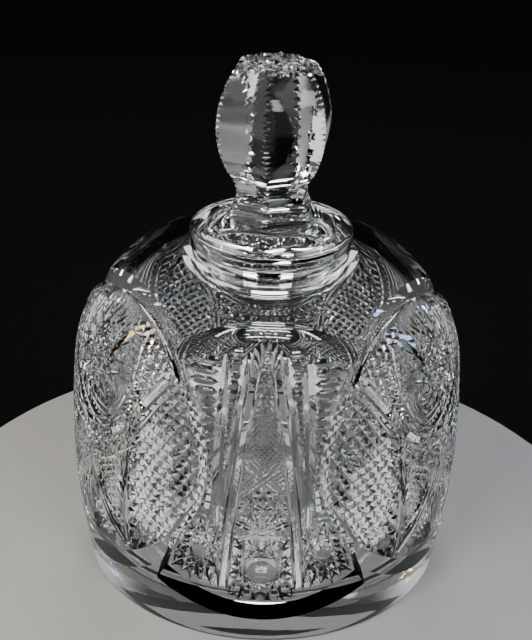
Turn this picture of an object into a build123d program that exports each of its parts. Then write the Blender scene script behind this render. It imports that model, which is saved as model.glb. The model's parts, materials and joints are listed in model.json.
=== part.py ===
"""Covered powder jar in thick cut crystal: a round-shouldered jar and a loose lid with a six-sided knob.

Millimetres, +Z up. The origin is the centre of the foot, on the surface that the jar stands on.
A panel faces -Y, and three panels and three round medallions take turns about the jar.
"""

from build123d import *
from math import cos, hypot, radians, sin, sqrt
import os

# ---------------------------------------------------------------- driving dimensions
# Jar, outside
body_radius = 64.3        # at the belly
belly_height = 46.0       # height of the widest place
foot_radius = 60.4
foot_height = 1.0         # upright band between the side and the flat of the foot
foot_edge_round = 0.8
lip_height = 114.0        # flat top of the lip, which carries the lid
neck_rise = 2.9           # from the top of the shoulder's round to the lip
shoulder_radius = 41.0    # round of the shoulder, seen from the side
neck_wall = 4.6           # glass between the mouth and the outside of the neck
neck_fillet = 1.2
lip_round = 0.5

# Jar, inside
wall = 8.0
floor_thickness = 10.0
floor_round = 10.0
mouth_radius = 20.0
mouth_round = 0.8
neck_radius = mouth_radius + neck_wall

# Panels and medallions cut into the outside
repeats = 3
panel_depth = 2.6
panel_top = 102.5         # highest point of the panel's round top
panel_top_radius = 30.0
panel_bottom = 12.5       # lowest point of its round bottom
panel_bottom_radius = 37.0
medallion_radius = 43.0
medallion_height = 61.0   # of its centre

# Lid
plug_clearance = 0.5      # radial gap between the plug and the mouth
plug_length = 17.0
plug_taper = 1.2          # loss of radius from the top of the plug to its end
plug_round = 3.0
rim_overhang = 1.2        # lid's rim past the neck
rim_thickness = 2.0
rim_round = 0.6
knob_sides = 6
knob_turn = -7.0          # degrees from the front to the nearest edge of the knob
knob_height = 54.0        # from the rim's top to the crown
knob_flat_radius = 16.4   # from the axis to the middle of a side, at the widest place
knob_widest = 35.5        # above the rim's top
crown_drop = 2.4          # from the crown's centre to its corner
crown_radius = 11.4       # from the axis to the middle of the crown's side
waist_radius = 10.4
waist_height = 12.0       # above the rim's top
waist_curve = 12.0        # radius of the hollow between knob and rim
knob_foot_gap = 2.6       # rim left bare outside the foot of the knob's sides

# Clearance for the tools that cut past a surface
past = 10.0

# ---------------------------------------------------------------- outline of the jar
side_curve = ((body_radius - foot_radius) ** 2 + (belly_height - foot_height) ** 2) / (
    2 * (body_radius - foot_radius)
)
side_centre = (body_radius - side_curve, belly_height)
shoulder_top = lip_height - neck_rise
shoulder_centre_z = shoulder_top - shoulder_radius
shoulder_centre = (
    side_centre[0]
    + sqrt((side_curve - shoulder_radius) ** 2 - (shoulder_centre_z - belly_height) ** 2),
    shoulder_centre_z,
)
# The shoulder's round lies inside the side's, and the two touch along this direction.
span = side_curve - shoulder_radius
touch = ((shoulder_centre[0] - side_centre[0]) / span, (shoulder_centre[1] - side_centre[1]) / span)


def side_point(height, inset):
    """A point of the side's arc at that height, moved in by inset."""
    radius = side_curve - inset
    return (side_centre[0] + sqrt(radius**2 - (height - belly_height) ** 2), height)


def touch_point(inset):
    """Where the side's arc runs into the shoulder's arc."""
    radius = side_curve - inset
    return (side_centre[0] + radius * touch[0], side_centre[1] + radius * touch[1])


def shoulder_point(distance, inset):
    """The point of the shoulder's arc at that distance from the axis."""
    radius = shoulder_radius - inset
    return (distance, shoulder_centre[1] + sqrt(radius**2 - (distance - shoulder_centre[0]) ** 2))


def shoulder_middle(distance, inset):
    """A point of the shoulder's arc halfway between the side and that distance."""
    start = touch_point(inset)
    end = shoulder_point(distance, inset)
    middle = (
        (start[0] + end[0]) / 2 - shoulder_centre[0],
        (start[1] + end[1]) / 2 - shoulder_centre[1],
    )
    scale = (shoulder_radius - inset) / hypot(*middle)
    return (shoulder_centre[0] + middle[0] * scale, shoulder_centre[1] + middle[1] * scale)


def turned(edges):
    """The solid that a closed half outline sweeps about the jar's axis."""
    return revolve(make_face(Plane.XZ * Wire(edges)), Axis.Z)


def round_form(bottom, inner_radius, inset):
    """A solid with the jar's side and shoulder, moved in by inset, from the height bottom up."""
    foot = side_point(bottom, inset)
    middle = side_point((bottom + touch_point(inset)[1]) / 2, inset)
    end = shoulder_point(inner_radius, inset)
    return turned(
        [
            Line((0, bottom), foot),
            ThreePointArc(foot, middle, touch_point(inset)),
            ThreePointArc(touch_point(inset), shoulder_middle(inner_radius, inset), end),
            Line(end, (0, end[1])),
            Line((0, end[1]), (0, bottom)),
        ]
    )


def ring_edges(solid, radius, height):
    """The circular edges of a solid at that radius and height."""
    return [
        edge
        for edge in solid.edges().filter_by(GeomType.CIRCLE)
        if abs(edge.radius - radius) < 0.01 and abs(edge.arc_center.Z - height) < 0.01
    ]


# ---------------------------------------------------------------- jar body
def medallions():
    """Round bars that run out from the axis, one through each medallion."""
    bar = Cylinder(medallion_radius, 2 * body_radius, align=(Align.CENTER, Align.CENTER, Align.MIN))
    bar = Pos(0, 0, medallion_height) * Rot(90, 0, 0) * bar
    turn = 360 / repeats
    return [Rot(0, 0, turn * (k + 0.5)) * bar for k in range(repeats)]


def panel_recess():
    """The shallow layer that is ground away in the front panel."""
    layer = round_form(foot_height, neck_radius, 0) - round_form(foot_height, neck_radius, panel_depth)
    top_disc = Pos(0, panel_top - panel_top_radius) * Circle(panel_top_radius)
    bottom_disc = Pos(0, panel_bottom + panel_bottom_radius) * Circle(panel_bottom_radius)
    outline = Plane.XZ * (top_disc + bottom_disc)
    recess = layer & extrude(outline, body_radius + past)
    for bar in medallions():
        recess -= bar
    return recess


def jar_body():
    """Thick-walled jar with a short neck and a panel ground back between each two medallions."""
    jar = round_form(foot_height, neck_radius, 0)
    jar += Cylinder(foot_radius, foot_height, align=(Align.CENTER, Align.CENTER, Align.MIN))
    neck_root = shoulder_point(neck_radius, 0)[1]
    jar += Pos(0, 0, neck_root - neck_rise) * Cylinder(
        neck_radius, lip_height - neck_root + neck_rise, align=(Align.CENTER, Align.CENTER, Align.MIN)
    )
    jar = fillet(ring_edges(jar, neck_radius, neck_root), neck_fillet)
    jar = fillet(ring_edges(jar, neck_radius, lip_height), lip_round)
    jar = fillet(ring_edges(jar, foot_radius, 0), foot_edge_round)

    cavity = round_form(floor_thickness, mouth_radius, wall)
    cavity = fillet(ring_edges(cavity, side_point(floor_thickness, wall)[0], floor_thickness), floor_round)
    jar -= cavity
    bore_bottom = shoulder_point(mouth_radius, wall)[1] - past / 2
    jar -= Pos(0, 0, bore_bottom) * Cylinder(
        mouth_radius, lip_height - bore_bottom + past, align=(Align.CENTER, Align.CENTER, Align.MIN)
    )
    jar = fillet(ring_edges(jar, mouth_radius, lip_height), mouth_round)
    recess = panel_recess()
    for k in range(repeats):
        jar -= Rot(0, 0, 360 / repeats * k) * recess
    return jar


# ---------------------------------------------------------------- lid
rim_top = lip_height + rim_thickness
rim_radius = neck_radius + rim_overhang
plug_radius = mouth_radius - plug_clearance


def knob_outline():
    """The knob seen square to two of its sides, from the rim up to the crown."""
    foot_flat = (rim_radius - knob_foot_gap) * cos(radians(180 / knob_sides))
    waist_z = rim_top + waist_height
    curve_centre = waist_radius + waist_curve
    bulge_z = rim_top + knob_widest
    crown_z = rim_top + knob_height - crown_drop
    # The bulge is one arc, from the crown down to as far below the widest place.
    join_z = 2 * bulge_z - crown_z
    join_r = curve_centre - sqrt(waist_curve**2 - (join_z - waist_z) ** 2)
    foot_z = waist_z - sqrt(waist_curve**2 - (curve_centre - foot_flat) ** 2)
    half = [
        Line((0, rim_top + knob_height), (crown_radius, crown_z)),
        ThreePointArc((crown_radius, crown_z), (knob_flat_radius, bulge_z), (join_r, join_z)),
        ThreePointArc((join_r, join_z), (waist_radius, waist_z), (foot_flat, foot_z)),
        Line((foot_flat, foot_z), (foot_flat, rim_top - rim_thickness / 2)),
        Line((foot_flat, rim_top - rim_thickness / 2), (0, rim_top - rim_thickness / 2)),
        Line((0, rim_top - rim_thickness / 2), (0, rim_top + knob_height)),
    ]
    face = make_face(Wire(half))
    return face + mirror(face, Plane.YZ)


def knob():
    """Six curved sides that meet in long edges: one outline, pushed through from each pair of sides."""
    outline = Plane.XZ * knob_outline()
    slab = extrude(outline, body_radius, both=True)
    turn = 360 / knob_sides
    solid = slab
    for k in range(1, knob_sides // 2):
        solid = solid & Rot(0, 0, turn * k) * slab
    # The slab's sides face X, so the six sides have an edge at the front, on -Y, before the turn.
    return Rot(0, 0, knob_turn) * solid


def plug():
    """Tapered stem that reaches down through the mouth."""
    stem = Pos(0, 0, lip_height - plug_length) * Cone(
        plug_radius - plug_taper,
        plug_radius,
        plug_length,
        align=(Align.CENTER, Align.CENTER, Align.MIN),
    )
    return fillet(ring_edges(stem, plug_radius - plug_taper, lip_height - plug_length), plug_round)


def lid():
    """Knob, rim and plug, all one piece of glass."""
    rim = Pos(0, 0, lip_height) * Cylinder(
        rim_radius, rim_thickness, align=(Align.CENTER, Align.CENTER, Align.MIN)
    )
    rim = fillet(rim.edges().filter_by(GeomType.CIRCLE), rim_round)
    return rim + knob() + plug()


if __name__ == "__main__":
    os.makedirs("parts", exist_ok=True)
    for node, shape in (("jar_body", jar_body()), ("lid", lid())):
        export_step(shape, f"parts/{node}.step")
        print(node, "solids", len(shape.solids()), "volume", round(shape.volume))
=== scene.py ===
# %% [markdown]
# # A cut-crystal powder jar
# The real jar starts as a thick blown blank of lead crystal. A cutter grinds the pattern into it with
# spinning wheels, and the cuts are polished until they are as clear as the rest. This lesson works in the
# same order: turn the blank, shape one solid for the path of each wheel, take them all away in one boolean,
# and give the glass its finish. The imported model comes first, because every size and place is read from it.

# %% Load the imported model
import json
import bpy
import numpy as np
from mathutils import Matrix, Vector

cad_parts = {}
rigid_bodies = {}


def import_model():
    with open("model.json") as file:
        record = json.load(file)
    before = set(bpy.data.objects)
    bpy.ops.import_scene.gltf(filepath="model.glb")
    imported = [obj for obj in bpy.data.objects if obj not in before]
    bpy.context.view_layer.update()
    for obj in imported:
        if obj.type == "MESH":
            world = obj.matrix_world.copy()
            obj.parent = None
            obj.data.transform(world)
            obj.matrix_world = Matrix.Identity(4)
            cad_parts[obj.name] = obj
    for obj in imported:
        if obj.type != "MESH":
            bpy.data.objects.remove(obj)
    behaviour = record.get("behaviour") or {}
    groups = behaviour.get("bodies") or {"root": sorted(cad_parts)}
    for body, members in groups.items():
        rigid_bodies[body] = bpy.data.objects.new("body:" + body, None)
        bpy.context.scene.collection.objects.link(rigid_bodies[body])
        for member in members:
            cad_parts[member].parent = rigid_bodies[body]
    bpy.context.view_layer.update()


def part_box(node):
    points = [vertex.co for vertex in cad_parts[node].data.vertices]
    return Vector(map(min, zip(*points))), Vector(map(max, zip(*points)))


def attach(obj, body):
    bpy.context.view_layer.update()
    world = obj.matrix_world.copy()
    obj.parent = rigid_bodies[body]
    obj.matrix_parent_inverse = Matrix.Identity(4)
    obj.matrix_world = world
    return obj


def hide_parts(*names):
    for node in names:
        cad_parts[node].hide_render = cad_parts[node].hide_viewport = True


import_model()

MM = 0.001
jar_low, jar_high = (np.array(corner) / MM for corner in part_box("jar_body"))
lid_low, lid_high = (np.array(corner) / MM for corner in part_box("lid"))
print("jar, mm:", jar_low.round(1), jar_high.round(1))
print("lid, mm:", lid_low.round(1), lid_high.round(1))

# %% [markdown]
# ## The outline of the jar
# Seen from the side, the jar is two arcs: a long flat one up the side and a tight one over the shoulder,
# which run into each other without a corner. Two arcs in closed form also give the exact direction of the
# surface at any height, and each cut needs that. A spline would only come near it.

# %% The two arcs, in millimetres
BODY_RADIUS = jar_high[0]
LIP = jar_high[2]
BELLY_HEIGHT = 46.0
FOOT_RADIUS = 60.4
FOOT_HEIGHT = 1.0
NECK_RADIUS = 24.6
NECK_RISE = 2.9
SHOULDER_ROUND = 41.0
WALL = 8.0
FLOOR = 10.0
MOUTH_RADIUS = 20.0

foot_in = BODY_RADIUS - FOOT_RADIUS
SIDE_ROUND = (foot_in**2 + (BELLY_HEIGHT - FOOT_HEIGHT) ** 2) / (2 * foot_in)
side_centre = np.array([BODY_RADIUS - SIDE_ROUND, BELLY_HEIGHT])
shoulder_z = LIP - NECK_RISE - SHOULDER_ROUND
between = SIDE_ROUND - SHOULDER_ROUND
shoulder_r = side_centre[0] + np.sqrt(between**2 - (shoulder_z - BELLY_HEIGHT) ** 2)
shoulder_centre = np.array([shoulder_r, shoulder_z])
join_angle = np.arcsin((shoulder_z - BELLY_HEIGHT) / between)
join_height = BELLY_HEIGHT + SIDE_ROUND * np.sin(join_angle)


def outline(height):
    """Radius of the jar at each height, and the outward direction there as (radial, upward).

    A point on an arc is its centre plus its radius along the outward direction, so the direction is the
    point less the centre, over the radius."""
    height = np.asarray(height, float)
    low = height < join_height
    centre_r = np.where(low, side_centre[0], shoulder_centre[0])
    centre_z = np.where(low, side_centre[1], shoulder_centre[1])
    radius = np.where(low, SIDE_ROUND, SHOULDER_ROUND)
    upward = (height - centre_z) / radius
    radial = np.sqrt(1 - upward**2)
    return centre_r + radius * radial, radial, upward


print("side and shoulder join at", round(float(join_height), 1), "mm")

# %% [markdown]
# ## From a drawing to the glass
# A cutter marks the pattern out as it looks from straight in front. The drawing here is the same: x is across
# and z is up, in millimetres, with the axis of the jar behind x = 0. Laying a point on the glass means going
# back from it, square to the drawing, until it meets the jar.

# %% Lay a drawing on the glass
def azimuth_of(drawing):
    """Angle about the axis for each drawn point: the angle whose sine is x over the radius at that height."""
    return np.arcsin(drawing[..., 0] / outline(drawing[..., 1])[0])


def lay(azimuth, height, depth):
    """Points at a depth under the surface, and the outward directions there.

    The depth is measured along the outward direction of the outline, and azimuth 0 faces -Y."""
    radius, radial, upward = outline(height)
    radius = radius - depth * radial
    sine = np.sin(azimuth)
    cosine = np.cos(azimuth)
    points = np.stack([radius * sine, -radius * cosine, height - depth * upward], -1)
    outward = np.stack([radial * sine, -radial * cosine, upward + 0 * sine], -1)
    return points, outward


def turned(points, degrees):
    """The points turned about the jar's axis."""
    angle = np.radians(degrees)
    turn = np.array([[np.cos(angle), -np.sin(angle), 0], [np.sin(angle), np.cos(angle), 0], [0, 0, 1]])
    return points @ turn.T


def line(start, end, steps=4):
    """A straight stroke of the drawing, as evenly spaced points."""
    return np.linspace(start, end, steps + 1)


def heading(degrees):
    """The unit direction of the drawing at each angle: its cosine across and its sine up."""
    angle = np.radians(degrees)
    return np.stack([np.cos(angle), np.sin(angle)], -1)


def arc(centre, radius, start, end, steps=12):
    """Part of a circle of the drawing, from one angle to another in degrees."""
    return np.array(centre) + radius * heading(np.linspace(start, end, steps + 1))


def bowed(start, end, bow, steps=12):
    """A stroke that swells to one side: the straight one plus bow times a parabola, 1 in the middle."""
    share = np.linspace(0, 1, steps + 1)[:, None]
    start, end = np.array(start, float), np.array(end, float)
    along = (end - start) / np.linalg.norm(end - start)
    side = np.array([-along[1], along[0]])
    return start + (end - start) * share + side * bow * 4 * share * (1 - share)


# %% [markdown]
# ## The path of a wheel
# Most of the pattern is mitre cuts: a wheel with a V edge is pressed into the glass and leaves a groove with
# two bright flat sides. Because the wheel is round, a groove gets shallower towards each end and closes to a
# point. The solid for a cut is a triangle carried along its stroke: the point of the triangle is the bottom
# of the groove, and its other side stays above the surface. It could be drawn as a texture instead, but only
# real facets bend the light as crystal does.

# %% The solid of one cut
ABOVE = 0.7    # how far a cutting solid stands above the surface, in mm


def orient(points, faces):
    """Face loops turned so that the volume they enclose is positive, which means that they point outwards."""
    volume = 0.0
    for face in faces:
        corner = points[face]
        volume += sum(np.dot(corner[0], np.cross(corner[k], corner[k + 1])) for k in range(1, len(face) - 1))
    return faces if volume > 0 else [face[::-1] for face in faces]


def bands(first, second, step, count=1):
    """The faces between rings of point numbers, each ring a step after the last, for count bands."""
    face = np.stack([first, second, second + step, first + step], -1)
    return [row for k in range(count) for row in (face + k * step).tolist()]


def swept(rings):
    """A closed solid from rings of points, each joined to the next; the first and the last are its ends."""
    count, around = rings.shape[:2]
    points = rings.reshape(-1, 3)
    faces = [list(range(around)), list(range((count - 1) * around, count * around))[::-1]]
    here = np.arange(around)
    faces += bands(np.roll(here, -1), here, around, count - 1)
    return points, orient(points, faces)


def distance_along(points):
    """Distance travelled along a line at each of its points."""
    return np.concatenate([[0], np.cumsum(np.linalg.norm(np.diff(points, axis=0), axis=1))])


def direction_along(points):
    """The unit direction of a line at each of its points."""
    along = np.gradient(points, axis=0)
    return along / np.linalg.norm(along, axis=1, keepdims=True)


def carve(points, outward, depth, slope=1.0, run=4.0, slopes=None):
    """The solid of a mitre cut along points on a surface, with the outward direction at each.

    Depth is how deep the groove is, one number or one for each end of the stroke. Slope is half its width
    over its depth, and slopes gives the two sides their own. Within run of an end the depth falls to
    nothing along a parabola, as a round wheel leaves it; a run of 0 keeps the depth to the end."""
    travelled = distance_along(points)
    share = travelled / travelled[-1]
    to_end = np.minimum(travelled, travelled[-1] - travelled)
    fade = 1 - (1 - np.clip(to_end / run, 0, 1)) ** 2 if run else np.ones(len(points))
    deep = np.interp(share, [0, 1], np.broadcast_to(depth, 2)) * fade
    left = np.cross(outward, direction_along(points))
    left_slope, right_slope = slopes or (slope, slope)
    bottom = points - outward * deep[:, None]
    lift = points + outward * ABOVE
    reach = (deep + ABOVE)[:, None]
    return swept(np.stack([bottom, lift + left * reach * left_slope, lift - left * reach * right_slope], 1))


def groove(stroke, depth, ground=0.0, **shape):
    """A mitre cut along a stroke of the drawing, in glass that was already ground back by ground."""
    points, outward = lay(azimuth_of(stroke), stroke[:, 1], ground)
    return carve(points, outward, depth, **shape)


demo = groove(line([0, 20], [10, 30]), 1.0)
print("one cut has", len(demo[0]), "points and", len(demo[1]), "faces")

# %% [markdown]
# ## The blanks
# Before it is cut, the jar is round, and so is the lid. Each blank is one closed outline turned about the
# axis: from the middle of the foot up the outside, over the lip and down the inside to the middle of the
# floor. The inside is part of the same mesh, because light bends at both faces of a glass wall.

# %% Turn an outline into a blank
COLUMNS = 144


def turned_blank(profile, columns):
    """A closed surface of revolution: each point of the profile becomes a ring, its two ends poles."""
    angle = np.linspace(0, 2 * np.pi, columns, endpoint=False)
    inner = profile[1:-1]
    rings = np.stack([
        inner[:, :1] * np.sin(angle),
        -inner[:, :1] * np.cos(angle),
        np.repeat(inner[:, 1:], columns, axis=1),
    ], -1).reshape(-1, 3)
    points = np.vstack([[[0, 0, profile[0, 1]]], rings, [[0, 0, profile[-1, 1]]]])
    here = 1 + np.arange(columns)
    beside = np.roll(here, -1)
    sides = bands(here, beside, columns, len(inner) - 1)
    final = (len(inner) - 1) * columns
    first_fan = np.stack([np.zeros(columns, int), beside, here], -1)
    last_fan = np.stack([np.full(columns, len(points) - 1), final + here, final + beside], -1)
    return points, sides + first_fan.tolist() + last_fan.tolist()


LIP_GAP = 0.12      # the visible lip stays this far under the lid, so that no two faces coincide
NECK_FILLET = 1.2
LIP_ROUND = 0.5
FOOT_EDGE = 0.8
FLOOR_ROUND = 10.0
FOOT_RINGS = [30.0, 52.0]       # rings on the flat of the foot, which keep its faces from being slivers
FLOOR_RINGS = [30.0, 12.0]      # the same on the flat of the floor
MOUTH_RINGS = [110.0, 106.0]    # heights of rings on the straight wall of the mouth


def jar_profile():
    """The jar's outline: foot, side, shoulder, neck, lip, mouth, and back down the inside to the floor."""
    side_angles = np.degrees([np.arcsin((FOOT_HEIGHT - BELLY_HEIGHT) / SIDE_ROUND), join_angle])
    fillet_z = LIP - NECK_RISE + NECK_FILLET
    top = LIP - LIP_GAP
    neck_foot = NECK_RADIUS + NECK_FILLET
    shoulder_end = np.degrees(np.arccos((neck_foot - shoulder_centre[0]) / SHOULDER_ROUND))
    ceiling = SHOULDER_ROUND - WALL
    ceiling_end = np.degrees(np.arccos((MOUTH_RADIUS - shoulder_centre[0]) / ceiling))
    floor_in = side_centre[0] + np.sqrt((SIDE_ROUND - WALL) ** 2 - (FLOOR + FLOOR_ROUND - BELLY_HEIGHT) ** 2)
    floor_angle = np.degrees(np.arcsin((FLOOR + FLOOR_ROUND - BELLY_HEIGHT) / (SIDE_ROUND - WALL)))
    return np.vstack([
        [[0, 0]] + [[radius, 0] for radius in FOOT_RINGS],
        arc((FOOT_RADIUS - FOOT_EDGE, FOOT_EDGE), FOOT_EDGE, -90, 0, 10),
        arc(side_centre, SIDE_ROUND, side_angles[0], side_angles[1], 24),
        arc(shoulder_centre, SHOULDER_ROUND, side_angles[1], shoulder_end, 24)[1:],
        arc((neck_foot, fillet_z), NECK_FILLET, 265, 180, 10),
        arc((NECK_RADIUS - LIP_ROUND, top - LIP_ROUND), LIP_ROUND, 0, 90, 10),
        arc((MOUTH_RADIUS + LIP_ROUND, top - LIP_ROUND), LIP_ROUND, 90, 180, 10),
        [[MOUTH_RADIUS, height] for height in MOUTH_RINGS],
        arc(shoulder_centre, ceiling, ceiling_end, side_angles[1], 20),
        arc(side_centre, SIDE_ROUND - WALL, side_angles[1], floor_angle, 14)[1:],
        arc((floor_in - FLOOR_ROUND, FLOOR + FLOOR_ROUND), FLOOR_ROUND, -6, -90, 14),
        [[radius, FLOOR] for radius in FLOOR_RINGS] + [[0, FLOOR]],
    ])


jar_blank = turned_blank(jar_profile(), COLUMNS)
print("jar blank:", len(jar_blank[0]), "points,", len(jar_blank[1]), "faces")

# %% [markdown]
# ## Panels
# Between two medallions the cutter grinds the glass back to a smooth panel, and leaves a sloping polished
# wall around it. The solid for this is a cushion with the panel's outline: one outline where the wall starts,
# on the surface, and a smaller one at the bottom of the wall. A Coons patch fills each outline: it blends the
# four sides into one sheet that follows the round of the jar.

# %% The outline of a medallion and of a panel
REPEATS = 3
SECTOR = 360 / REPEATS
MEDALLION_HEIGHT = 61.5
MEDALLION_RADIUS = 43.0
MEDALLION_EASE = 2.8       # how far its top is flatter than a circle
SLOPE_START = 213          # degrees of its edge where a panel leaves it
PANEL_DEPTH = 2.6


def medallion_edge(start, end, steps, inset=0.0):
    """The medallion's edge between two angles: a circle, eased near its top by a high power of the sine."""
    way = heading(np.linspace(start, end, steps + 1))
    radius = MEDALLION_RADIUS - MEDALLION_EASE * np.maximum(way[:, 1], 0) ** 6 - inset
    return np.array([0, MEDALLION_HEIGHT]) + radius[:, None] * way


def even(points, count):
    """The same line with its points spaced evenly along it."""
    travelled = distance_along(points)
    wanted = np.linspace(0, travelled[-1], count)
    return np.stack([np.interp(wanted, travelled, points[:, k]) for k in range(2)], -1)


def as_azimuth(drawing, about=0.0):
    """Drawn points as (azimuth, height), for a drawing whose middle is at that azimuth in degrees."""
    return np.stack([azimuth_of(drawing) + np.radians(about), drawing[:, 1]], -1)


def panel_sides(top_angle, top_height, bottom_height, bottom_corner, inset, across=27, up=45):
    """The four sides of a panel as (azimuth, height): bottom, top, left and right.

    The right side follows the edge of the next medallion, set in from it, from that angle of the medallion's
    drawing down, and then runs straight to the bottom corner. The left side is its mirror image."""
    edge = as_azimuth(medallion_edge(top_angle, SLOPE_START, 40, -inset), SECTOR / 2)
    corner = as_azimuth(np.array([bottom_corner]))
    right = even(np.vstack([edge, corner])[::-1], up)
    left = right * [-1, 1]

    def across_arc(corner_point, middle_height, power):
        """Corner to corner through the middle height, the fall being a power of the share of azimuth."""
        share = np.linspace(-1, 1, across)
        rise = (middle_height - corner_point[1]) * (1 - np.abs(share) ** power)
        return np.stack([share * corner_point[0], corner_point[1] + rise], -1)

    return across_arc(right[0], bottom_height, 2), across_arc(right[-1], top_height, ARCH_POWER), left, right


ARCH_POWER = 2.2        # 2 gives a parabola, and more a flatter top
# Each outline: where it meets the medallion, its highest and lowest middle, its bottom corner, and its inset.
PANEL_EDGE = (124.5, 104.9, 9.9, (32.4, 19.0), 0.0)
PANEL_FLOOR = (132.0, 101.2, 14.0, (30.2, 23.5), 1.6)


def coons(bottom, top, left, right):
    """The sheet that four sides span: both straight blends of facing sides, less the blend of the corners."""
    a = np.linspace(0, 1, len(bottom))[None, :, None]
    b = np.linspace(0, 1, len(left))[:, None, None]
    up_down = (1 - b) * bottom[None] + b * top[None]
    side_side = (1 - a) * left[:, None] + a * right[:, None]
    corners = ((1 - a) * (1 - b) * bottom[0] + a * (1 - b) * bottom[-1]
               + (1 - a) * b * top[0] + a * b * top[-1])
    return up_down + side_side - corners


def panel_solid():
    """The cushion of glass that is ground away in one panel: a lid sheet, a wall ring and a bottom sheet."""
    surface = panel_sides(*PANEL_EDGE)
    floor = panel_sides(*PANEL_FLOOR)
    over = [2 * outer - inner for outer, inner in zip(surface, floor)]
    sheets = [(over, -PANEL_DEPTH), (surface, 0.0), (floor, PANEL_DEPTH)]
    grids = [lay(*np.moveaxis(coons(*sides), -1, 0), depth)[0] for sides, depth in sheets]
    rows, columns = grids[0].shape[:2]
    points = np.concatenate([grid.reshape(-1, 3) for grid in grids])
    index = np.arange(rows * columns).reshape(rows, columns)
    quads = np.stack([index[:-1, :-1], index[:-1, 1:], index[1:, 1:], index[1:, :-1]], -1).reshape(-1, 4)
    rim = np.concatenate([index[0, :-1], index[:-1, -1], index[-1, :0:-1], index[:0:-1, 0]])
    size = rows * columns
    faces = quads.tolist() + (quads[:, ::-1] + 2 * size).tolist() + bands(np.roll(rim, -1), rim, size, 2)
    used, numbers = np.unique(faces, return_inverse=True)
    return points[used], orient(points[used], numbers.reshape(-1, 4).tolist())


panel = panel_solid()
print("panel solid:", len(panel[0]), "points")

# %% [markdown]
# ## Drawing the pattern
# The pattern is built from a few motifs that cutters repeat everywhere. Crossed grooves leave rows of small
# pyramids: coarse ones are relief diamonds, fine ones are crosshatching. A hobstar is a ring of points, each
# joined to one almost opposite, so that the strokes fence off a raised hob in the middle. A rib is a polished
# strip between two thin lines. Each motif is a small function that gives strokes, and a region is a test that
# says which points of the drawing lie inside it.

# %% Motifs
def kept(stroke, inside):
    """The pieces of a stroke that lie inside a region, each at least three points long."""
    ok = np.concatenate([[False], inside(stroke), [False]])
    change = np.flatnonzero(ok[1:] != ok[:-1])
    return [stroke[a:b] for a, b in zip(change[::2], change[1::2]) if b - a > 2]


def thinned(stroke, spacing=3.0):
    """The same stroke with its points about that far apart, and never fewer than five."""
    length = np.linalg.norm(np.diff(stroke, axis=0), axis=1).sum()
    return even(stroke, max(5, int(length / spacing) + 1))


def hatch(centre, size, angle, pitch, inside):
    """Parallel strokes across a region, at an angle in degrees, a pitch apart."""
    along = heading(angle)
    side = np.array([-along[1], along[0]])
    strokes = []
    for offset in np.arange(-size, size, pitch):
        middle = np.array(centre) + side * offset
        full = line(middle - along * size, middle + along * size, int(size * 8))
        strokes += [thinned(piece) for piece in kept(full, inside)]
    return strokes


def star(centre, radius, points, skip, start=90.0, inside=None):
    """A hobstar's strokes: each of its points joined to the one skip places on."""
    tips = np.array(centre) + radius * heading(start + 360 / points * np.arange(points))
    strokes = [line(tips[k], tips[(k + skip) % points], 60) for k in range(points)]
    if inside:
        strokes = [piece for stroke in strokes for piece in kept(stroke, inside)]
    return [thinned(stroke) for stroke in strokes]


def rays(centre, inner, outer, angles, inside=None):
    """Strokes that run out from a centre between two radii, one at each angle."""
    centre = np.array(centre)
    strokes = []
    for angle in angles:
        along = heading(angle)
        stroke = line(centre + inner * along, centre + outer * along, 40)
        strokes += kept(stroke, inside) if inside else [stroke]
    return [thinned(stroke) for stroke in strokes]


def rib(stroke, half_width):
    """The two thin lines beside a polished strip: the stroke moved to its left and to its right."""
    along = direction_along(stroke)
    side = np.stack([-along[:, 1], along[:, 0]], -1) * half_width
    return [stroke + side, stroke - side]


def mirrored(strokes):
    """The strokes and their mirror images across the middle of the drawing."""
    return strokes + [stroke[::-1] * [-1, 1] for stroke in strokes]


print("a sixteen-point star has", len(star((0, 0), 14, 16, 6)), "strokes")

# %% [markdown]
# ## What is cut in a panel
# A tall lancet stands in the middle between two ribs, filled with fine crosshatching down to a saltire. Below
# it are a small star, another saltire, and a hobstar round a hollow bullseye. On each side a broad clear
# spear rises between two ladders of level prisms, and half a hobstar fills the corner under it.

# %% Lines and places in a panel
RIB_HALF = 1.4                  # half the width of a polished strip
LANCET_TOP = 99.5
LANCET_FOOT = 61.1
SECOND_CROSS = 42.6
CROSS_SLOPES = {LANCET_FOOT: 0.85, SECOND_CROSS: 0.45}
SMALL_STAR = (0.0, 51.4)
SMALL_STAR_REACH = 7.8
BULLSEYE = (0.0, 27.4)
BULLSEYE_RADIUS = 4.9
BULLSEYE_DEPTH = 1.3
BALL_RADIUS = (BULLSEYE_RADIUS**2 + BULLSEYE_DEPTH**2) / (2 * BULLSEYE_DEPTH)
CORNER_STAR = (19.6, 33.4)
CORNER_RADIUS = 12.4
LADDER_FOOT = 51.0
LADDER_TOP = 99.0
LADDER_PITCH = 2.65
HATCH_PITCH = 1.25              # a little coarser than a real one, so that it shows


def rib_line(side=1.0):
    """The middle of the lancet's rib: nearly straight, from the arch down to the foot of the panel."""
    return bowed((2.6, 99.6), (12.4, 19.0), 1.1, 24) * [side, 1]


def rib_x(height):
    """How far the lancet's rib is from the middle at a height."""
    stroke = rib_line()[::-1]
    return np.interp(height, stroke[:, 1], stroke[:, 0])


def spear_x(height):
    """How far the clear spear is from the middle at a height."""
    return np.interp(height, [51.5, 81.0, 98.0], [14.4, 13.4, 12.3])


def wall_x(height):
    """How far the foot of the panel's wall is from the middle: up its side, and on along the arch."""
    _, top, _, right = panel_sides(*PANEL_FLOOR)
    edge = np.vstack([right, top[len(top) // 2:-1][::-1]])
    across = outline(edge[:, 1])[0] * np.sin(edge[:, 0])
    return np.interp(height, edge[:, 1], across)


print("half widths at 80 mm up:", [round(float(place(80.0)), 1) for place in (rib_x, spear_x, wall_x)])

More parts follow.
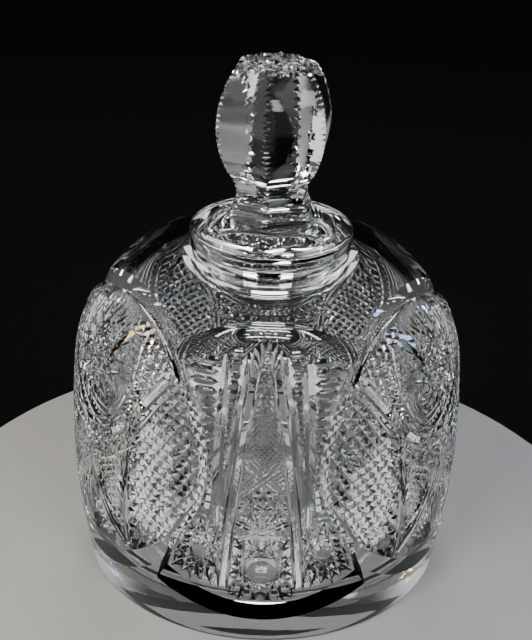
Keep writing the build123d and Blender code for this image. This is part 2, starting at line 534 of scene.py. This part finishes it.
# %% Regions of a panel
INSIDE_RIB = 1.5                # kept clear between a rib's line and the crosshatching
BESIDE_RIB = 1.4                # the same for the strokes of the stars
BESIDE_CROSS = 1.2


def in_lancet(p):
    """Between the ribs, under the arch and over the first saltire."""
    away = np.abs(p[:, 0])
    over_cross = LANCET_FOOT + BESIDE_CROSS + CROSS_SLOPES[LANCET_FOOT] * away
    return (away < rib_x(p[:, 1]) - INSIDE_RIB) & (p[:, 1] > over_cross) & (p[:, 1] < LANCET_TOP)


def beside_cross(height):
    """The two small triangles that a saltire leaves at its sides."""
    def inside(p):
        away = np.abs(p[:, 0])
        reach = CROSS_SLOPES[height] * away - BESIDE_CROSS
        return (away < rib_x(p[:, 1]) - INSIDE_RIB) & (np.abs(p[:, 1] - height) < reach)
    return inside


def between_ribs(low, high):
    """The strip between the two ribs, from one height to another."""
    return lambda p: (np.abs(p[:, 0]) < rib_x(p[:, 1]) - BESIDE_RIB) & (p[:, 1] > low) & (p[:, 1] < high)


def beside_lancet(p):
    """Between a rib and the panel's wall."""
    away = np.abs(p[:, 0])
    return (away > rib_x(p[:, 1]) + BESIDE_RIB) & (away < wall_x(p[:, 1]) - 0.3) & (p[:, 1] > 19)


round_bullseye = between_ribs(15.2, 41.0)
round_small_star = between_ribs(SMALL_STAR[1] - SMALL_STAR_REACH, SMALL_STAR[1] + SMALL_STAR_REACH)
print("the lancet runs from", LANCET_FOOT, "to", LANCET_TOP, "mm")

# %% Cut the lancet and the saltires
panel_cuts = []


def cut_panel(strokes, depth, **shape):
    """Add a cut in the panel for each stroke."""
    panel_cuts.extend(groove(stroke, depth, PANEL_DEPTH, **shape) for stroke in strokes)


def saltire(height, reach, rise):
    """Two crossed double lines: from the left above the height to the right below it, and mirrored."""
    strokes = mirrored([line((-reach, height + rise), (reach, height - rise), 8)])
    return [pair for stroke in strokes for pair in rib(stroke, 0.7)]


cut_panel(rib(rib_line(), RIB_HALF) + rib(rib_line(-1.0), RIB_HALF), 0.7, slope=0.9, run=3.0)
for angle in (45, -45):
    cut_panel(hatch((0, 80), 22, angle, HATCH_PITCH, in_lancet), 0.55, slope=1.25, run=0.8)
cut_panel(saltire(LANCET_FOOT, 7.6, 6.5), 0.5, slope=0.8, run=1.5)
cut_panel(saltire(SECOND_CROSS, 9.8, 4.4), 0.5, slope=0.8, run=1.5)
for height in CROSS_SLOPES:
    for angle in (45, -45):
        strokes = hatch((0, height), 12, angle, HATCH_PITCH, beside_cross(height))
        cut_panel(strokes, 0.5, slope=1.25, run=0.8)
print("cuts so far:", len(panel_cuts))

# %% Cut the two stars and the bullseye
cut_panel(rays(SMALL_STAR, 0.0, 8.6, np.arange(0, 360, 45)), (1.1, 0.9), slope=0.9, run=4.0)
cut_panel(star(SMALL_STAR, 9.4, 8, 3, 22.5, round_small_star), 1.0, slope=0.8, run=3.0)
cut_panel(star(SMALL_STAR, 8.4, 8, 2, 0.0, round_small_star), 0.8, slope=0.8, run=2.0)

ring = [arc(BULLSEYE, BULLSEYE_RADIUS + 0.6, start, start + 190, 30) for start in (0, 180)]
cut_panel(ring, 1.2, slopes=(0.9, 0.4), run=0)
cut_panel(star(BULLSEYE, 15.2, 16, 6, 90, round_bullseye), 1.0, slope=0.8, run=3.0)
cut_panel(rays(BULLSEYE, 9.6, 16.0, np.arange(11.25, 371, 22.5), round_bullseye), 0.8, slope=0.7, run=2.0)


def bullseye():
    """A ball that grinds a round hollow: its centre is over the glass by its radius less the depth."""
    points, faces = turned_blank(arc((0, 0), BALL_RADIUS, -90, 90, 24), 36)
    (middle,), (outward,) = lay(azimuth_of(np.array([BULLSEYE])), np.array([BULLSEYE[1]]), PANEL_DEPTH)
    return points + middle + outward * (BALL_RADIUS - BULLSEYE_DEPTH), orient(points, faces)


print("the ball's radius is", round(BALL_RADIUS, 1), "mm")

# %% Cut the corners, the spears and the ladders
for side in (-1, 1):
    corner = (side * CORNER_STAR[0], CORNER_STAR[1])
    cut_panel(star(corner, CORNER_RADIUS, 12, 5, 90, beside_lancet), 1.0, slope=0.9, run=3.0)
    cut_panel(star(corner, CORNER_RADIUS, 12, 4, 75, beside_lancet), 0.8, slope=0.8, run=3.0)
    cut_panel(rays(corner, 6.0, 14.5, np.arange(15, 375, 30), beside_lancet), 0.8, slope=0.7, run=3.0)

heights = np.linspace(LADDER_TOP - 0.5, LADDER_FOOT - 0.5, 22)
spear = np.stack([spear_x(heights), heights], -1)
flute = np.stack([rib_x(heights) + RIB_HALF + 1.9, heights], -1)
cut_panel(mirrored([spear]), (1.3, 0.5), slope=1.9, run=4.0)
cut_panel(mirrored([flute]), (0.8, 0.6), slope=2.2, run=6.0)
for height in np.arange(LADDER_FOOT, LADDER_TOP, LADDER_PITCH):
    inner = (rib_x(height) + 3.6, spear_x(height) - 1.2)
    outer = (spear_x(height) + 1.4, wall_x(height) - 0.2)
    for start, end in (inner, outer):
        if end - start > 0.8:
            cut_panel(mirrored([line((start, height), (end, height), 4)]), 0.95, slope=1.45, run=0.6)
print("cuts in each panel:", len(panel_cuts))

# %% [markdown]
# ## What is cut in a medallion
# A large hobstar stands in a clear round field. Under the field runs a double band of notches, a leaf lies
# against each side of it, and a strip of small crosses follows the edge over it. Two wide fields of relief
# diamonds fill the sides, and between them two ribs rise from the foot to a point over a fan of rays. A
# sloping band goes round the top and the bottom of the whole medallion, so it stands proud like a button.

# %% Lines and places in a medallion
HOBSTAR = (0.0, 85.0)
HOBSTAR_RADIUS = 14.6
FIELD_RADIUS = 19.5
LEAF_RADIUS = 25.6
BAND_INNER = 21.8
BAND_MIDDLE = 26.4
BAND_OUTER = 31.2
BAND_ENDS = (214, 326)          # degrees round the hobstar
DIAMOND_PITCH = 2.7
FAN_CENTRE = (0.0, 20.5)
border_heights = [24.0, 31.9, 70.9, 92.1]
border_places = [20.6, 20.0, 21.0, 30.4]
petal = bowed((-21.4, 25.5), (-1.2, 56.0), -3.0, 20)


def round_hobstar(radius):
    """A function that gives the point of a circle round the hobstar at an angle in degrees."""
    return lambda angle: arc(HOBSTAR, radius, angle, angle, 1)[0]


def inside_edge(inset):
    """The same for the medallion's edge, moved in by the inset."""
    return lambda angle: medallion_edge(angle, angle, 1, inset)[0]


def crosses(angles, spread, first, second):
    """At each angle, two strokes that swap sides over the spread, from the first curve to the second."""
    strokes = []
    for angle in angles:
        strokes.append(line(first(angle), second(angle + spread), 4))
        strokes.append(line(first(angle + spread), second(angle), 4))
    return strokes


print("the petals meet", petal[-1, 1], "mm up")

# %% Regions of a medallion
def in_medallion(p, inset=1.2):
    """Inside the medallion's edge by at least the inset."""
    offset = p - [0, MEDALLION_HEIGHT]
    distance = np.hypot(*offset.T)
    ease = MEDALLION_EASE * np.maximum(offset[:, 1] / np.maximum(distance, 1e-6), 0) ** 6
    return distance < MEDALLION_RADIUS - ease - inset


def from_hobstar(p):
    """Distance from the middle of the hobstar."""
    return np.hypot(p[:, 0] - HOBSTAR[0], p[:, 1] - HOBSTAR[1])


def border_x(height):
    """How far the border of the diamonds is from the middle at a height."""
    return np.interp(height, border_heights, border_places)


def petal_x(height):
    """How far a petal's line is from the middle at a height."""
    return np.interp(height, petal[:, 1], -petal[:, 0])


def in_diamonds(p):
    """Left of the border, under the leaf, and on past the medallion's edge, so that the edge is cut too."""
    outside = (p[:, 0] < -border_x(p[:, 1]) - 1.2) & (from_hobstar(p) > LEAF_RADIUS + 0.6)
    return in_medallion(p, -1.5) & outside


def under_petals(p):
    """Between the two petals, under the bands."""
    return (np.abs(p[:, 0]) < petal_x(p[:, 1]) - 1.0) & in_medallion(p) & (from_hobstar(p) > BAND_OUTER + 0.5)


def beside_petals(p):
    """Between the left petal and the border of the diamonds, under the bands."""
    between = (-p[:, 0] > petal_x(p[:, 1]) + 1.2) & (-p[:, 0] < border_x(p[:, 1]) - 1.2)
    return between & (from_hobstar(p) > BAND_OUTER + 0.5) & in_medallion(p)


print("the border is", border_x(50.0).round(1), "mm from the middle at 50 mm up")

# %% Cut the hobstar, its field and the leaves
medallion_cuts = []


def cut_medallion(strokes, depth, **shape):
    """Add a cut in the medallion for each stroke."""
    medallion_cuts.extend(groove(stroke, depth, **shape) for stroke in strokes)


sloping_band = [medallion_edge(30, 150, 48), medallion_edge(214, 326, 48)]
medallion_slopes = [groove(stroke, 1.8, slopes=(0.3, 3.3), run=6.0) for stroke in sloping_band]
cut_medallion(star(HOBSTAR, HOBSTAR_RADIUS, 16, 6), 1.0, slope=0.8, run=5.0)
cut_medallion(star(HOBSTAR, 6.2, 8, 3), 0.8, slope=0.8, run=1.5)
cut_medallion(rays(HOBSTAR, 0.0, 5.6, np.arange(22.5, 382, 45)), 0.6, slope=0.9, run=1.5)
cut_medallion(rays(HOBSTAR, 9.5, 15.4, np.arange(101.25, 461, 22.5)), 0.7, slope=0.6, run=2.0)

field_edge = kept(arc(HOBSTAR, FIELD_RADIUS, 140, 400, 130), in_medallion)
leaf_edge = [kept(arc(HOBSTAR, LEAF_RADIUS, start, start + 62, 60), in_medallion)[0] for start in (150, -32)]
for edge in (field_edge, leaf_edge):
    cut_medallion([thinned(piece, 2.0) for piece in edge], 0.5, slope=0.9, run=2.0)
leaf_sides = round_hobstar(FIELD_RADIUS + 0.9), round_hobstar(LEAF_RADIUS - 0.9)
in_leaf = crosses(np.arange(158, 212, 6.0), 8, *leaf_sides)
in_strip = crosses(np.arange(104, 138, 4.4), 5.5, inside_edge(0.9), inside_edge(4.6))
for stroke in in_leaf + in_strip:
    cut_medallion(mirrored([stroke]), 0.8, slope=0.8, run=2.0)
print("cuts so far:", len(medallion_cuts))

# %% Cut the bands, the diamonds, the petals and the fan
for radius in (BAND_INNER, BAND_MIDDLE, BAND_OUTER):
    cut_medallion([arc(HOBSTAR, radius, *BAND_ENDS, 36)], 0.5, slope=0.9, run=2.0)
notches = rays(HOBSTAR, BAND_INNER + 0.5, BAND_MIDDLE - 0.5, np.arange(216, 326, 5.5))
cut_medallion(notches, 0.9, slope=1.1, run=1.0)
band_sides = round_hobstar(BAND_MIDDLE + 0.5), round_hobstar(BAND_OUTER - 0.5)
cut_medallion(crosses(np.arange(216, 320, 9.0), 7, *band_sides), 0.9, slope=0.9, run=2.0)

for angle in (-62, 28):
    diamonds = hatch((-31, 58), 40, angle, DIAMOND_PITCH, in_diamonds)
    cut_medallion(mirrored(diamonds), 1.1, slope=1.35, run=1.6)
border = even(np.array([[-place, height] for place, height in zip(border_places, border_heights)]), 24)
cut_medallion(mirrored(rib(border, 0.9)), 0.55, slope=0.8, run=2.0)
cut_medallion(mirrored(rib(petal, 0.9)), 0.55, slope=0.8, run=2.0)
cut_medallion(rays(FAN_CENTRE, 2.0, 36.0, np.arange(28, 160, 8), under_petals), 1.0, slope=0.9, run=6.0)
for angle in (60, -30):
    cut_medallion(mirrored(hatch((-15, 48), 24, angle, 2.2, beside_petals)), 0.8, slope=1.25, run=1.2)
print("cuts in each medallion:", len(medallion_cuts))

# %% [markdown]
# ## The lid's blank
# The lid is turned as one piece: plug, rim, foot, waist and knob. The outline of the knob is not drawn by
# itself. It is worked out from the line of its flat sides, so that the blank always stands a little proud of
# the edges where two sides will meet, all the way down to the rim.

# %% The outline of the lid
RIM_TOP = LIP + 2.0
RIM_RADIUS = lid_high[0]
RIM_ROUND = 0.6
RIM_FLAT = 0.9              # of the rim's top left bare outside the foot of the knob
PLUG_END = lid_low[2]
PLUG_RADIUS = 19.5
PLUG_TAPER = 1.2
PLUG_ROUND = 3.0
PLUG_RING = 8.0             # a ring on the flat end of the plug
ROOT_ROUND = 0.6            # hollow between the plug and the rim
CROWN = lid_high[2]
CROWN_EDGE = CROWN - 2.4
CROWN_RADIUS = 11.4
WIDEST = 151.5
WIDEST_RADIUS = 16.4
WAIST = 128.0
WAIST_RADIUS = 10.4
WAIST_ROUND = WAIST - RIM_TOP - 0.1
KNOB_SIDES = 6
KNOB_TURN = -7.0
KNOB_SPARE = 1.01           # the blank's radius over that of the knob's edges
JOIN = 2 * WIDEST - CROWN_EDGE
side_share = np.cos(np.pi / KNOB_SIDES)     # from an edge of the knob to the middle of a side


def circle_through(a, b, c):
    """Centre and radius of the circle through three points, from the two equations that equal radii give."""
    a, b, c = (np.array(p, float) for p in (a, b, c))
    centre = np.linalg.solve(2 * np.array([b - a, c - a]), [b @ b - a @ a, c @ c - a @ a])
    return centre, np.linalg.norm(a - centre)


def knob_line(rows):
    """Distance from the axis to the middle of a side, from the foot of the knob up to the crown's edge.

    A hollow arc runs from the foot through the waist, and a round arc goes on over the widest place."""
    hollow = np.array([WAIST_RADIUS + WAIST_ROUND, WAIST])
    join_r = hollow[0] - np.sqrt(WAIST_ROUND**2 - (JOIN - WAIST) ** 2)
    low = arc(hollow, WAIST_ROUND, 269, 180 - np.degrees(np.arcsin((JOIN - WAIST) / WAIST_ROUND)), rows)
    centre, bulge = circle_through((join_r, JOIN), (WIDEST_RADIUS, WIDEST), (CROWN_RADIUS, CROWN_EDGE))
    start, end = (np.degrees(np.arctan2(z - centre[1], r - centre[0])) for r, z in (
        (join_r, JOIN), (CROWN_RADIUS, CROWN_EDGE)))
    return np.vstack([low, arc(centre, bulge, start, end, rows)[1:]])


def crown_height(radius):
    """Height of the crown's low dome at a distance from the axis, falling with the square of it."""
    return CROWN - (CROWN - CROWN_EDGE) * (radius * side_share / CROWN_RADIUS) ** 2


def lid_profile():
    """The lid's outline before its sides are cut: plug, rim, flared foot, waist, knob and crown."""
    edge = knob_line(34) * [KNOB_SPARE / side_share, 1]
    foot_radius = RIM_RADIUS - RIM_ROUND - RIM_FLAT
    side = edge[edge[:, 0] < foot_radius - 0.3]
    plug_root = LIP - ROOT_ROUND
    dome = np.linspace(side[-1, 0], 0, 9)[1:]
    return np.vstack([
        [[0, PLUG_END], [PLUG_RING, PLUG_END]],
        arc((PLUG_RADIUS - PLUG_TAPER - PLUG_ROUND, PLUG_END + PLUG_ROUND), PLUG_ROUND, -90, -4, 14),
        [[PLUG_RADIUS - PLUG_TAPER / 2, (PLUG_END + plug_root) / 2]],
        arc((PLUG_RADIUS + ROOT_ROUND, plug_root), ROOT_ROUND, 180, 90, 10),
        arc((RIM_RADIUS - RIM_ROUND, LIP + RIM_ROUND), RIM_ROUND, -90, 0, 10),
        arc((RIM_RADIUS - RIM_ROUND, RIM_TOP - RIM_ROUND), RIM_ROUND, 0, 90, 10),
        [[foot_radius, RIM_TOP]],
        side,
        np.stack([dome, crown_height(dome)], -1),
    ])


lid_blank = turned_blank(lid_profile(), COLUMNS)
print("lid blank:", len(lid_blank[0]), "points")

# %% [markdown]
# ## What is cut in the lid
# Six long sides are ground from the crown down to the rim, and meet in six sharp edges. A row of small
# notches runs down each edge like a string of beads, from the crown to the rim. The crown is a small hobstar:
# strokes from edge to edge that cross each other leave it full of little points, and its outline is nicked
# all round.

# %% The solids that cut the lid
NOTCH_PITCH = 1.75
NOTCH_DEPTH = 0.8
NOTCH_REACH = 3.0
CLEAR = 40.0        # far outside the lid, in mm
CROWN_POINTS = 12
PAST_CROWN = 2.5    # how far the crown's strokes run on past its edge


def lid_sides():
    """For each side, the knob's line run on past the crown, closed far outside and carried across."""
    knob = knob_line(40)
    run_on = knob[-1] + (knob[-1] - knob[-2]) * 5
    around = np.vstack([knob, [run_on, [CLEAR, run_on[1]], [CLEAR, knob[0, 1]]]])
    solids = []
    for k in range(KNOB_SIDES):
        rings = np.stack([
            np.stack([np.full(len(around), across), -around[:, 0], around[:, 1]], -1)
            for across in (-CLEAR, CLEAR)
        ])
        points, faces = swept(rings)
        solids.append((turned(points, KNOB_TURN + 360 / KNOB_SIDES * (k + 0.5)), faces))
    return solids


def lid_notches():
    """Small level grooves across each edge of the knob, evenly spaced along it from the crown to the rim."""
    edge = knob_line(60) * [1 / side_share, 1]
    edge = edge[edge[:, 0] < RIM_RADIUS - RIM_ROUND - RIM_FLAT]
    edge = even(edge, int(np.linalg.norm(np.diff(edge, axis=0), axis=1).sum() / NOTCH_PITCH))
    solids = []
    for (radius, height), (rise_r, rise_z) in list(zip(edge, direction_along(edge)))[:-1]:
        outward = np.array([0, -rise_z, -rise_r])
        middle = np.array([0, -radius, height])
        points = middle + np.array([1.0, 0, 0]) * np.linspace(-NOTCH_REACH, NOTCH_REACH, 3)[:, None]
        shape, faces = carve(points, np.tile(outward, (3, 1)), NOTCH_DEPTH, slope=0.75, run=0)
        for k in range(KNOB_SIDES):
            solids.append((turned(shape, KNOB_TURN + 360 / KNOB_SIDES * k), faces))
    return solids


def crown_stroke(start, end, depth):
    """A groove straight across the crown's dome, from one point of its plan to another."""
    plan = line(start, end, 8)
    radius = np.linalg.norm(plan, axis=1)
    points = np.column_stack([plan, crown_height(radius)])
    return carve(points, np.tile([0.0, 0.0, 1.0], (len(points), 1)), depth, slope=0.9, run=0)


def crown_star():
    """A hobstar over the whole crown, and a nick in its edge between each two of its points."""
    reach = CROWN_RADIUS / side_share + PAST_CROWN
    solids = []
    for skip, depth in ((5, 0.9), (4, 0.7)):
        strokes = star((0, 0), reach, CROWN_POINTS, skip, 90 + KNOB_TURN)
        solids += [crown_stroke(stroke[0], stroke[-1], depth) for stroke in strokes]
    for stroke in rays((0, 0), 7.5, reach, KNOB_TURN + 15 + np.arange(0, 360, 360 / CROWN_POINTS)):
        solids.append(crown_stroke(stroke[0], stroke[-1], (0.6, 1.5)))
    for stroke in rays((0, 0), 0.0, 4.0, KNOB_TURN + np.arange(0, 360, 360 / KNOB_SIDES)):
        solids.append(crown_stroke(stroke[0], stroke[-1], 0.7))
    return solids


lid_cuts = lid_notches() + crown_star()
print("cuts in the lid:", len(lid_cuts), "besides its sides")

# %% [markdown]
# ## The finish
# Lead crystal is glass with lead oxide in it, which bends light more than window glass: its index is about
# 1.55. The blank and its large polished sides have the soft, slightly wavy skin of hand-worked glass. The
# finer wheel cuts are nearly as clear after acid polishing, with a little grain along them. So there are two
# materials with the same index, and the boolean gives each cut face the material of the solid that cut it.

# %% Materials
def linear(hex_colour):
    """An sRGB hex colour as the linear values that a shader reads."""
    values = [int(hex_colour[k:k + 2], 16) / 255 for k in (1, 3, 5)]
    return [v / 12.92 if v <= 0.04045 else ((v + 0.055) / 1.055) ** 2.4 for v in values] + [1.0]


def add_node(tree, kind, links=None, **settings):
    """Add a node, set its sockets and properties by name, and link its inputs to the sockets given."""
    node = tree.nodes.new(kind)
    for name, value in settings.items():
        label = name.replace("_", " ")
        if label in node.inputs:
            node.inputs[label].default_value = value
        else:
            setattr(node, name, value)
    for name, socket in (links or {}).items():
        tree.links.new(socket, node.inputs[name])
    return node


def blank_material(name):
    """A new material, its empty node tree, and the socket that gives places on the object."""
    material = bpy.data.materials.new(name)
    material.use_nodes = True
    tree = material.node_tree
    tree.nodes.clear()
    return material, tree, add_node(tree, "ShaderNodeTexCoord").outputs["Object"]


CRYSTAL_INDEX = 1.55


def crystal(name, colour, grain_mm, roughness, bump, bump_mm):
    """Clear glass whose gloss varies a little with a fine grain, and whose skin is bumped by a wave."""
    material, tree, place = blank_material(name)
    grain = add_node(tree, "ShaderNodeTexNoise", {"Vector": place}, Scale=1 / (grain_mm * MM), Detail=3.0)
    gloss = add_node(tree, "ShaderNodeMapRange", {"Value": grain.outputs["Fac"]},
                     To_Min=roughness[0], To_Max=roughness[1])
    wave = add_node(tree, "ShaderNodeTexNoise", {"Vector": place}, Scale=1 / (bump_mm * MM), Detail=2.0)
    skin = add_node(tree, "ShaderNodeBump", {"Height": wave.outputs["Fac"]}, Strength=1.0, Distance=bump * MM)
    glass = add_node(tree, "ShaderNodeBsdfPrincipled",
                     {"Roughness": gloss.outputs["Result"], "Normal": skin.outputs["Normal"]},
                     Base_Color=linear(colour), IOR=CRYSTAL_INDEX, Transmission_Weight=1.0)
    add_node(tree, "ShaderNodeOutputMaterial", {"Surface": glass.outputs["BSDF"]})
    return material


blown = crystal("lead_crystal_fire_polished", "#FBFDFD", 3.0, (0.0, 0.012), 0.02, 14.0)
cut = crystal("lead_crystal_wheel_cut", "#FCFDFC", 0.6, (0.02, 0.09), 0.004, 1.2)
print("materials:", blown.name, cut.name)

# %% [markdown]
# ## Cutting
# The fast manifold solver takes hundreds of solids away at once and keeps the mesh closed, which glass needs.
# Edges sharper than a few degrees are then marked sharp, so that every facet stays flat and bright while the
# round parts of the blank stay smooth.

# %% Take the cuts out of the blanks
SHARP_DEGREES = 9.5


def mesh_object(name, points, faces, material):
    """A new object with its points given in millimetres."""
    mesh = bpy.data.meshes.new(name)
    mesh.from_pydata((points * MM).tolist(), [], faces)
    mesh.materials.append(material)
    return bpy.data.objects.new(name, mesh)


def cut_from(name, blank, polished, cuts):
    """The blank with its polished sides and every wheel cut taken away, as one closed and finished object."""
    points, faces = blank
    piece = mesh_object(name, points, orient(points, faces), blown)
    bpy.context.scene.collection.objects.link(piece)
    wheels = bpy.data.collections.new(name + "_wheels")
    for finish, solids in ((blown, polished), (cut, cuts)):
        for solid_points, solid_faces in solids:
            wheels.objects.link(mesh_object(f"{name}_wheel", solid_points, solid_faces, finish))
    grind = piece.modifiers.new("grind", "BOOLEAN")
    grind.operation = "DIFFERENCE"
    grind.operand_type = "COLLECTION"
    grind.collection = wheels
    grind.solver = "MANIFOLD"
    grind.material_mode = "TRANSFER"
    bpy.context.view_layer.update()
    finished = bpy.data.meshes.new_from_object(piece.evaluated_get(bpy.context.evaluated_depsgraph_get()))
    piece.modifiers.clear()
    piece.data = finished
    finished.name = name
    for wheel in list(wheels.objects):
        bpy.data.meshes.remove(wheel.data)
    bpy.data.collections.remove(wheels)
    finished.shade_smooth()
    finished.set_sharp_from_angle(angle=np.radians(SHARP_DEGREES))
    finished.calc_loop_triangles()
    print(name, "has", len(finished.loop_triangles), "triangles in", [m.name for m in finished.materials])
    return piece


def all_round(panel_solids, medallion_solids):
    """The solids of one panel and of one medallion, repeated round the jar."""
    solids = []
    for k in range(REPEATS):
        solids += [(turned(points, SECTOR * k), faces) for points, faces in panel_solids]
        solids += [(turned(points, SECTOR * (k + 0.5)), faces) for points, faces in medallion_solids]
    return solids


jar = cut_from("cut_jar", jar_blank, all_round([panel, bullseye()], medallion_slopes),
               all_round(panel_cuts, medallion_cuts))
lid = cut_from("cut_lid", lid_blank, lid_sides(), lid_cuts)

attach(jar, "jar")
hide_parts("jar_body")
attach(lid, "lid")
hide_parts("lid")

# %% [markdown]
# ## The studio
# Clear glass has no colour of its own: it shows what is around it, bent. On a pale floor it needs something
# dark behind it and a few bright soft places, so that each facet picks one or the other. The floor is a pale
# round table. A dark surround stands about it and glows softly towards its two sides, which fills the sides
# of the knob with even grey. Two large soft lights stand in front, and one behind. A narrow warm light and a
# narrow cool one at the sides give the small coloured glints that lead crystal shows.

# %% Floor, surround, lights and camera
TABLE_RADIUS = 0.125
TABLE_TOP = -0.0006         # a hair under the foot, so that the two never share a face
TABLE_EDGE = 0.004
SURROUND_RADIUS = 1.6
SURROUND_FLOOR = -0.25
SURROUND_HEIGHT = 1.3


def plain_material(name, colour, roughness, glow=None):
    """A matt studio surface with a faint mottle.

    A glow lights it from behind towards its two sides, smoothly from nothing at the first distance from the
    middle to full strength at the second. Its last two numbers are the left and right strengths."""
    material, tree, place = blank_material(name)
    mottle = add_node(tree, "ShaderNodeTexNoise", {"Vector": place}, Scale=40.0)
    tone = add_node(tree, "ShaderNodeMapRange", {"Value": mottle.outputs["Fac"]}, To_Min=0.97, To_Max=1.03)
    shade = add_node(tree, "ShaderNodeVectorMath", {"Scale": tone.outputs["Result"]},
                     operation="SCALE", Vector=linear(colour)[:3])
    links = {"Base Color": shade.outputs["Vector"]}
    if glow:
        dark_to, full_from, *strengths = glow
        across = add_node(tree, "ShaderNodeSeparateXYZ", {"Vector": place}).outputs["X"]
        left, right = (
            add_node(tree, "ShaderNodeMapRange", {"Value": across}, interpolation_type="SMOOTHSTEP",
                     From_Min=side * dark_to, From_Max=side * full_from, To_Max=strength).outputs["Result"]
            for side, strength in zip((-1, 1), strengths))
        both = add_node(tree, "ShaderNodeMath", operation="ADD")
        tree.links.new(left, both.inputs[0])
        tree.links.new(right, both.inputs[1])
        links["Emission Strength"] = both.outputs["Value"]
    surface = add_node(tree, "ShaderNodeBsdfPrincipled", links, Roughness=roughness,
                       Specular_IOR_Level=0.1, Emission_Color=linear("#FFFFFF"))
    add_node(tree, "ShaderNodeOutputMaterial", {"Surface": surface.outputs["BSDF"]})
    return material


def round_sheet(name, radii_heights, material, columns=96):
    """An open sheet of revolution through (radius, height) pairs in metres."""
    angle = np.linspace(0, 2 * np.pi, columns, endpoint=False)
    pairs = np.array(radii_heights, float)
    rings = np.stack([np.outer(pairs[:, 0], np.sin(angle)), np.outer(pairs[:, 0], np.cos(angle)),
                      np.repeat(pairs[:, 1:], columns, 1)], -1).reshape(-1, 3)
    here = np.arange(columns)
    faces = bands(here, np.roll(here, -1), columns, len(pairs) - 1)
    sheet = mesh_object(name, rings / MM, faces, material)
    sheet.data.shade_smooth()
    bpy.context.scene.collection.objects.link(sheet)
    return sheet


def softbox(name, place, target, size, power, colour="#FFFFFF"):
    """A rectangular light at a place in metres, facing a target."""
    light = bpy.data.lights.new(name, "AREA")
    light.shape = "RECTANGLE"
    light.size, light.size_y = size
    light.energy = power
    light.color = linear(colour)[:3]
    box = bpy.data.objects.new(name, light)
    towards = Vector(target) - Vector(place)
    box.matrix_world = Matrix.Translation(place) @ towards.to_track_quat("-Z", "Y").to_matrix().to_4x4()
    bpy.context.scene.collection.objects.link(box)
    return box


pale = plain_material("pale_matt_board", "#B9B9B6", 0.6)
dark = plain_material("dark_grey_cloth", "#08080A", 0.9, glow=(0.85, SURROUND_RADIUS, 1.2, 0.8))
round_sheet("table", [(0.0005, TABLE_TOP), (TABLE_RADIUS - TABLE_EDGE, TABLE_TOP),
                      (TABLE_RADIUS, -TABLE_EDGE), (TABLE_RADIUS, -0.03)], pale)
round_sheet("surround", [(0.001, SURROUND_FLOOR), (SURROUND_RADIUS, SURROUND_FLOOR), (SURROUND_RADIUS, 0.0),
                         (SURROUND_RADIUS, SURROUND_HEIGHT)], dark)

middle = (0, 0, 0.08)
softbox("back", (0.0, 1.15, 0.9), middle, (0.6, 0.4), 6.0)
softbox("warm_strip", (-0.85, 0.1, 0.5), middle, (0.05, 0.3), 1.2, "#FFD27A")
softbox("cool_strip", (0.85, 0.15, 0.45), middle, (0.05, 0.3), 1.2, "#8FB8FF")
softbox("front_left", (-0.7, -1.0, 0.75), middle, (0.55, 0.55), 12.0)
softbox("front_right", (0.6, -1.05, 0.7), middle, (0.45, 0.45), 8.0)

world = bpy.data.worlds.new("studio_air")
bpy.context.scene.world = world
world.use_nodes = True
air = world.node_tree.nodes["Background"].inputs
air["Color"].default_value = linear("#F4F6FA")
air["Strength"].default_value = 0.1

CAMERA_PLACE = (0.0, -0.3759, 0.2777)
CAMERA_PITCH = 27.457
CAMERA_YAW = -0.125
CAMERA_ROLL = 1.678
lens = bpy.data.cameras.new("camera")
lens.sensor_fit = "AUTO"
lens.sensor_width = 36.0
lens.lens = 73.05
lens.clip_start = 0.01
camera = bpy.data.objects.new("camera", lens)
pitch, yaw, roll = np.radians([CAMERA_PITCH, CAMERA_YAW, CAMERA_ROLL])
forward = Vector((np.sin(yaw) * np.cos(pitch), np.cos(yaw) * np.cos(pitch), -np.sin(pitch)))
right = forward.cross(Vector((0, 0, 1))).normalized()
upward = right.cross(forward)
across = right * np.cos(roll) + upward * np.sin(roll)
upright = upward * np.cos(roll) - right * np.sin(roll)
turn = Matrix((across, upright, -forward)).transposed()
camera.matrix_world = Matrix.Translation(CAMERA_PLACE) @ turn.to_4x4()
bpy.context.scene.collection.objects.link(camera)
bpy.context.scene.camera = camera
print("camera looks", [round(v, 3) for v in forward])
